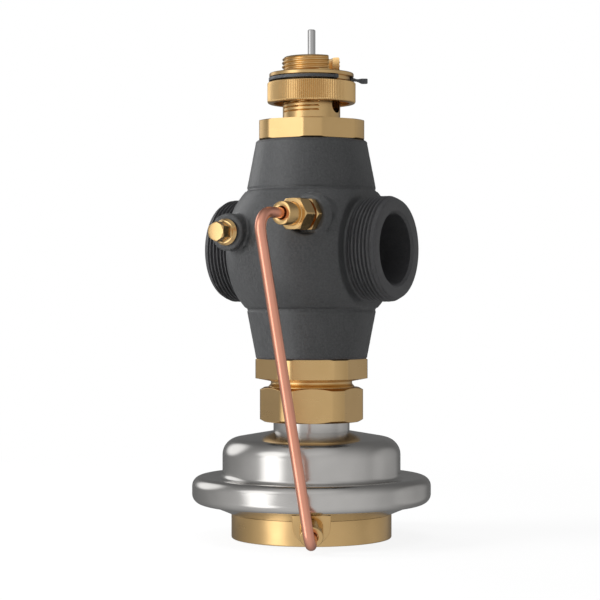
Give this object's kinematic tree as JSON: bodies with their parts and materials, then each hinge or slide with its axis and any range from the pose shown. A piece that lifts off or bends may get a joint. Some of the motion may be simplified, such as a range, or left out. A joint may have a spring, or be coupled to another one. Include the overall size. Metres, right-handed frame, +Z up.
{
  "type": "pressure independent control valve",
  "caption": "Straight control valve with threaded ports, a knurled setting ring round its stem, a membrane pressure regulator below the body and an outside impulse tube.",
  "frame": {"origin": "centre of the flat underside of the base", "axes": "+Z up along the stem, +X along the pipe towards the outlet port, -Y towards the side with the plug and the impulse tube"},
  "size_m": [0.1372, 0.1596, 0.292],
  "materials": {
    "cast_iron": "grey cast surface",
    "brass": "machined",
    "stainless_steel": "turned and polished",
    "pressed_steel": "pressed bright sheet",
    "spring_steel": "drawn wire",
    "copper": "drawn copper",
    "rubber": "matt",
    "black_plastic": "satin"
  },
  "bodies": {
    "housing": {"valve_body": "cast_iron", "valve_insert": "stainless_steel", "insert_seal": "rubber", "upper_bonnet": "brass", "upper_bonnet_seal": "rubber", "stem_seals": "rubber", "gland_nut": "brass", "lower_bonnet": "brass", "lower_bonnet_seal": "rubber", "rod_bush": "brass", "rod_seal": "rubber", "union_nut": "brass", "steel_neck": "stainless_steel", "neck_gasket": "rubber", "upper_shell": "pressed_steel", "lower_shell": "pressed_steel", "clamp_ring": "pressed_steel", "spring_seat": "pressed_steel", "base_ring": "brass", "base_seal": "rubber", "base_screws": "stainless_steel", "impulse_tube": "copper", "upper_fitting_body": "brass", "upper_fitting_nut": "brass", "upper_ferrule": "brass", "lower_fitting_nut": "brass", "lower_ferrule": "brass", "test_plug": "brass", "plug_washer": "rubber"},
    "stem": {"control_stem": "stainless_steel", "control_cone": "brass", "cone_seal": "rubber", "lift_collar": "stainless_steel", "closing_spring": "spring_steel"},
    "regulator": {"regulator_rod": "stainless_steel", "regulator_cone": "brass", "regulator_seal": "rubber", "rod_top_nut": "stainless_steel", "upper_plate": "pressed_steel", "lower_plate": "pressed_steel", "rod_bottom_nut": "stainless_steel", "diaphragm": "rubber", "regulator_spring": "spring_steel"},
    "traverse": {"limit_bar": "stainless_steel"},
    "ring": {"setting_ring": "brass", "lock_clip": "black_plastic"}
  },
  "joints": [
    {"name": "stem_lift", "type": "slide", "parent": "housing", "child": "stem", "axis": [0, 0, 1], "range_m": [0, 0.01], "stiffness_N_per_m": 3000, "springref_m": -0.005, "deforming": ["closing_spring"]},
    {"name": "regulator_lift", "type": "slide", "parent": "housing", "child": "regulator", "axis": [0, 0, 1], "range_m": [0, 0.004], "stiffness_N_per_m": 2500, "springref_m": -0.006, "deforming": ["regulator_spring", "diaphragm"]},
    {"name": "traverse_lift", "type": "slide", "parent": "housing", "child": "traverse", "axis": [0, 0, 1], "range_m": [-0.01, 0]},
    {"name": "ring_turn", "type": "hinge", "parent": "traverse", "child": "ring", "pos_m": [0, 0, 0.258], "axis": [0, 0, 1], "range_deg": [-1560, 0]}
  ],
  "couplings": [
    {"joint": "ring_turn", "follows": "traverse_lift", "rad_per_m": 2721.2}
  ]
}
